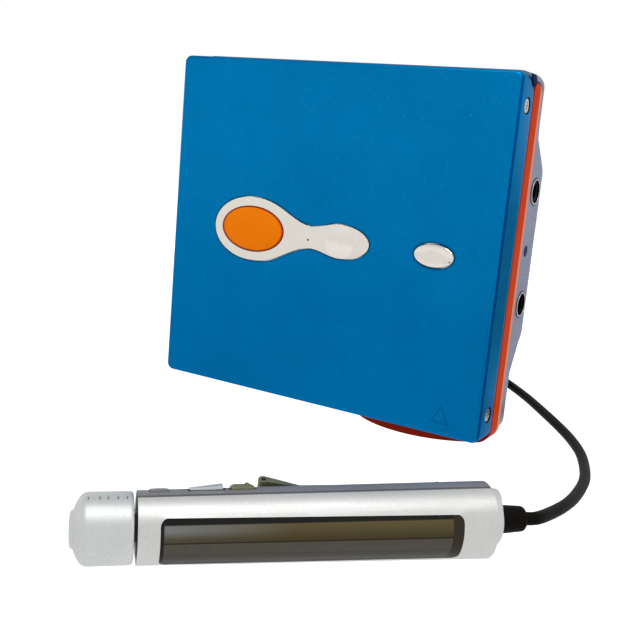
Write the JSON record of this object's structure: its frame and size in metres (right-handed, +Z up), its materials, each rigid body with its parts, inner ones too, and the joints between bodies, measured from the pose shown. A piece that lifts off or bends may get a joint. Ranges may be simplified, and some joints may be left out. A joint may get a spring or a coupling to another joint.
{
  "type": "portable minidisc player",
  "caption": "Pocket disc player on its front lip: hinged lid with disc holder, rocker and press keys, side sockets, battery door and pickup drive, with a corded stick remote that has a clip.",
  "frame": {"origin": "middle of the front lip's flat edge that the player stands on", "axes": "+X to the side with the sockets, -Y out of the lid's face, +Z up from the lip to the hinge"},
  "size_m": [0.1062, 0.1735, 0.0763],
  "materials": {
    "base_paint": "satin",
    "frame_lacquer": "gloss",
    "lid_paint": "satin metallic",
    "deck_steel": "brushed",
    "board": "solder resist",
    "chip": "matte",
    "cell": "gloss sleeve",
    "contact": "plated",
    "steel_pin": "polished",
    "socket": "satin",
    "motor": "satin",
    "hub": "turned",
    "sled_plastic": "matte",
    "lens": "coated",
    "gear_plastic": "matte",
    "screw_steel": "plated",
    "slider_plastic": "satin",
    "holder_steel": "bright",
    "flex_board": "satin",
    "key_chrome": "mirror",
    "play_orange": "translucent gloss",
    "remote_silver": "satin",
    "window_smoke": "smoked",
    "lcd": "display glass",
    "remote_key": "satin",
    "black_plastic": "satin",
    "cord_rubber": "satin"
  },
  "bodies": {
    "player": {"base_shell": "base_paint", "mid_frame": "frame_lacquer", "deck_plate": "deck_steel", "main_board": "board", "chip_set": "chip", "battery_cell": "cell", "contact_block": "contact", "door_pin": "steel_pin", "hinge_lug_left": "deck_steel", "hinge_lug_right": "deck_steel", "hinge_pin_left": "steel_pin", "hinge_pin_right": "steel_pin", "phones_jack": "socket", "power_jack": "socket", "spindle_motor": "motor", "guide_rods": "steel_pin", "sled_motor": "motor", "base_screws": "screw_steel", "remote_front": "remote_silver", "remote_back": "remote_silver", "lcd_window": "window_smoke", "lcd_panel": "lcd", "remote_board": "board", "remote_endcap": "remote_silver", "cord_strain": "cord_rubber", "remote_phones": "black_plastic", "clip_pin": "steel_pin", "clip_spring": "steel_pin", "cord_lead": "cord_rubber", "cord_coil": "cord_rubber", "coil_tie": "black_plastic", "plug_grip": "black_plastic", "plug_pin": "contact"},
    "lid": {"lid_shell": "lid_paint", "disc_holder": "holder_steel", "holder_screws_left": "screw_steel", "holder_screws_right": "screw_steel", "key_board": "flex_board"},
    "play_button": {"play_key": "play_orange"},
    "rocker": {"spoon_key": "key_chrome"},
    "stop_button": {"stop_key": "key_chrome"},
    "open_thumb": {"open_slider": "slider_plastic"},
    "hold_thumb": {"hold_switch": "slider_plastic"},
    "bay_door": {"battery_door": "base_paint", "door_contact": "contact"},
    "spindle": {"turntable": "hub"},
    "sled": {"pickup_sled": "sled_plastic", "pickup_lens": "lens"},
    "screw": {"lead_screw": "steel_pin", "drive_gear": "gear_plastic"},
    "pinion": {"motor_pinion": "contact"},
    "stem": {"knob_stem": "sled_plastic"},
    "knob": {"volume_knob": "remote_silver"},
    "clip": {"clip_arm": "remote_silver"},
    "remote_hold_key": {"remote_hold": "remote_silver"},
    "remote_stop_key": {"remote_stop": "remote_key"},
    "remote_sound_key": {"remote_sound": "remote_key"}
  },
  "joints": [
    {"name": "lid_hinge", "type": "hinge", "parent": "player", "child": "lid", "pos_m": [0, -0.0066, 0.0735], "axis": [-1, 0, 0], "range_deg": [0, 40]},
    {"name": "play_press", "type": "slide", "parent": "lid", "child": "play_button", "axis": [0, 1, 0], "range_m": [0, 0.0003], "stiffness_N_per_m": 400, "springref_m": -0.0005},
    {"name": "rocker_tilt", "type": "hinge", "parent": "lid", "child": "rocker", "pos_m": [-0.0027, -0.009, 0.03865], "axis": [0, 0, 1], "range_deg": [-0.5, 0.3], "stiffness_Nm_per_rad": 1},
    {"name": "stop_press", "type": "slide", "parent": "lid", "child": "stop_button", "axis": [0, 1, 0], "range_m": [0, 0.0003], "stiffness_N_per_m": 400, "springref_m": -0.0005},
    {"name": "open_slide", "type": "slide", "parent": "player", "child": "open_thumb", "axis": [0, 0, 1], "range_m": [0, 0.0025], "stiffness_N_per_m": 200, "springref_m": -0.001},
    {"name": "hold_slide", "type": "slide", "parent": "player", "child": "hold_thumb", "axis": [0, 0, 1], "range_m": [0, 0.0025]},
    {"name": "bay_door_hinge", "type": "hinge", "parent": "player", "child": "bay_door", "pos_m": [-0.0394, 0.005, 0.0494], "axis": [0, 1, 0], "range_deg": [0, 95]},
    {"name": "turntable_spin", "type": "hinge", "parent": "player", "child": "spindle", "pos_m": [0, -0.0005, 0.0373], "axis": [0, -1, 0], "continuous": true},
    {"name": "sled_slide", "type": "slide", "parent": "player", "child": "sled", "axis": [1, 0, 0], "range_m": [0, 0.017]},
    {"name": "screw_spin", "type": "hinge", "parent": "player", "child": "screw", "pos_m": [0.02, -0.00005, 0.0499], "axis": [1, 0, 0], "range_deg": [0, 4090]},
    {"name": "pinion_spin", "type": "hinge", "parent": "player", "child": "pinion", "pos_m": [0.006, -0.00005, 0.05263], "axis": [1, 0, 0], "range_deg": [-8180, 0]},
    {"name": "knob_pull", "type": "slide", "parent": "player", "child": "stem", "axis": [-0.7253, -0.6883, -0.0126], "range_m": [0, 0.002]},
    {"name": "knob_turn", "type": "hinge", "parent": "stem", "child": "knob", "pos_m": [0.0169, -0.09405, 0.00518], "axis": [0.7253, 0.6883, 0.0126], "range_deg": [-30, 30], "stiffness_Nm_per_rad": 0.002},
    {"name": "clip_hinge", "type": "hinge", "parent": "player", "child": "clip", "pos_m": [0.02968, -0.07355, 0.0071], "axis": [0.1693, -0.1961, 0.9658], "range_deg": [0, 15], "stiffness_Nm_per_rad": 0.02, "springref_deg": -17.19},
    {"name": "remote_hold_slide", "type": "slide", "parent": "player", "child": "remote_hold_key", "axis": [0.7253, 0.6883, 0.0126], "range_m": [0, 0.001]},
    {"name": "remote_stop_press", "type": "slide", "parent": "player", "child": "remote_stop_key", "axis": [0.1286, -0.1174, -0.9847], "range_m": [0, 0.0003], "stiffness_N_per_m": 400, "springref_m": -0.0005},
    {"name": "remote_sound_press", "type": "slide", "parent": "player", "child": "remote_sound_key", "axis": [0.1286, -0.1174, -0.9847], "range_m": [0, 0.0003], "stiffness_N_per_m": 400, "springref_m": -0.0005}
  ],
  "couplings": [
    {"joint": "screw_spin", "follows": "sled_slide", "rad_per_m": 4188.8},
    {"joint": "pinion_spin", "follows": "sled_slide", "rad_per_m": -8377.6}
  ]
}
